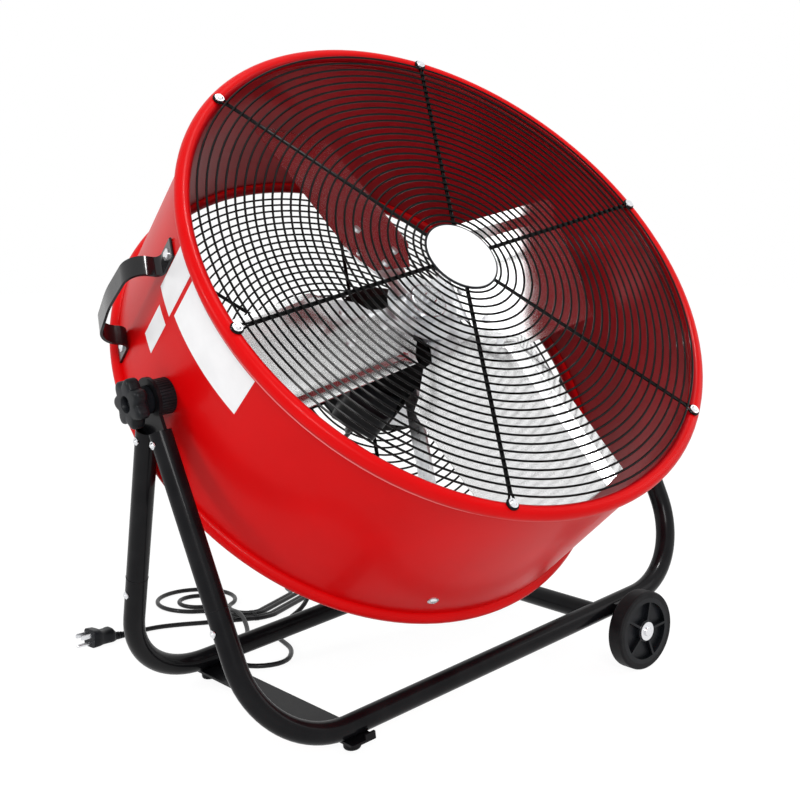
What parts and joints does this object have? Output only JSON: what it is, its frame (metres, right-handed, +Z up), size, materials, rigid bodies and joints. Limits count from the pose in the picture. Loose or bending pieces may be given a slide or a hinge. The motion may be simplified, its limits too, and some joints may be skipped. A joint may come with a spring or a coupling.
{
  "type": "drum fan",
  "caption": "Drum fan that tilts in a leaning tube stand with wheels at one end, wire guards, a side handle and a mains cord laid in a tied hank.",
  "frame": {"origin": "on the floor below the middle of the fan without its cord", "axes": "+Z up, +X to the wheel end along the floor runs, -Y to the front where the air leaves"},
  "size_m": [0.7718, 0.8352, 0.7835],
  "materials": {
    "frame_black": "semi-gloss",
    "foot_rubber": "matte",
    "zinc_steel": "zinc plated",
    "wheel_plastic": "matte",
    "tyre_rubber": "matte",
    "drum_red": "gloss",
    "guard_black": "semi-gloss",
    "badge_white": "gloss",
    "handle_black": "semi-gloss",
    "knob_black": "matte",
    "motor_black": "semi-gloss",
    "motor_bells": "painted",
    "blade_aluminium": "bright",
    "spider_steel": "zinc plated",
    "cord_black": "matte",
    "tie_black": "matte"
  },
  "bodies": {
    "stand": {"front_loop": "frame_black", "rear_loop": "frame_black", "leg_front_left": "frame_black", "leg_front_right": "frame_black", "leg_rear_left": "frame_black", "leg_rear_right": "frame_black", "pivot_bracket_left": "frame_black", "pivot_bracket_right": "frame_black", "cross_plate": "frame_black", "cross_tube": "frame_black", "axle_ear_front": "frame_black", "axle_ear_rear": "frame_black", "foot_front": "foot_rubber", "foot_rear": "foot_rubber", "axle_bolt_front": "zinc_steel", "axle_bolt_rear": "zinc_steel", "frame_screws": "zinc_steel", "cord_hank": "cord_black", "cord_lead": "cord_black", "cord_tail": "cord_black", "cord_plug": "cord_black", "cord_tie": "tie_black"},
    "drum": {"front_guard_screws": "zinc_steel", "rear_guard_screws": "zinc_steel", "handle_screws": "zinc_steel", "strut_screws": "zinc_steel", "pivot_bolt_left": "zinc_steel", "pivot_bolt_right": "zinc_steel", "motor_strut_low": "zinc_steel", "motor_strut_right": "zinc_steel", "motor_strut_left": "zinc_steel", "drum_shell": "drum_red", "front_guard": "guard_black", "rear_guard": "guard_black", "badge": "badge_white", "handle": "handle_black", "switch_box": "knob_black", "motor_box": "knob_black", "pivot_spacer_left": "knob_black", "pivot_spacer_right": "knob_black", "motor_body": "motor_black", "motor_front_bell": "motor_bells", "motor_rear_bell": "motor_bells", "cord_gland": "cord_black", "motor_lead": "cord_black"},
    "fan": {"fan_shaft": "zinc_steel", "fan_hub": "zinc_steel", "fan_spider": "spider_steel", "blade_rivets": "spider_steel", "blade_1": "blade_aluminium", "blade_2": "blade_aluminium", "blade_3": "blade_aluminium", "blade_4": "blade_aluminium"},
    "wheel_front": {"wheel_front": "wheel_plastic", "tyre_front": "tyre_rubber"},
    "wheel_rear": {"wheel_rear": "wheel_plastic", "tyre_rear": "tyre_rubber"},
    "knob_left": {"knob_left": "knob_black"},
    "knob_right": {"knob_right": "knob_black"},
    "speed_dial": {"speed_dial": "knob_black"}
  },
  "joints": [
    {"name": "drum_tilt", "type": "hinge", "parent": "stand", "child": "drum", "pos_m": [-0.00707, 0.02502, 0.4257], "axis": [0.9927, 0, 0.1209], "range_deg": [-49.7, 130.3], "deforming": ["cord_tail"]},
    {"name": "fan_spin", "type": "hinge", "parent": "drum", "child": "fan", "pos_m": [-0.00707, 0.02502, 0.4257], "axis": [-0.0782, -0.7627, 0.642], "continuous": true},
    {"name": "wheel_front_spin", "type": "hinge", "parent": "stand", "child": "wheel_front", "pos_m": [0.25144, -0.15178, 0.0508], "axis": [0, 1, 0], "continuous": true},
    {"name": "wheel_rear_spin", "type": "hinge", "parent": "stand", "child": "wheel_rear", "pos_m": [0.25144, 0.20182, 0.0508], "axis": [0, 1, 0], "continuous": true},
    {"name": "knob_left_turn", "type": "hinge", "parent": "drum", "child": "knob_left", "pos_m": [-0.35599, 0.02502, 0.38322], "axis": [-0.9927, 0, -0.1209], "range_deg": [0, 360]},
    {"name": "knob_right_turn", "type": "hinge", "parent": "drum", "child": "knob_right", "pos_m": [0.34186, 0.02502, 0.46818], "axis": [0.9927, 0, 0.1209], "range_deg": [0, 360]},
    {"name": "speed_dial_turn", "type": "hinge", "parent": "drum", "child": "speed_dial", "pos_m": [0.00002, 0.12349, 0.36753], "axis": [0.0782, 0.7627, -0.642], "range_deg": [0, 180]}
  ]
}
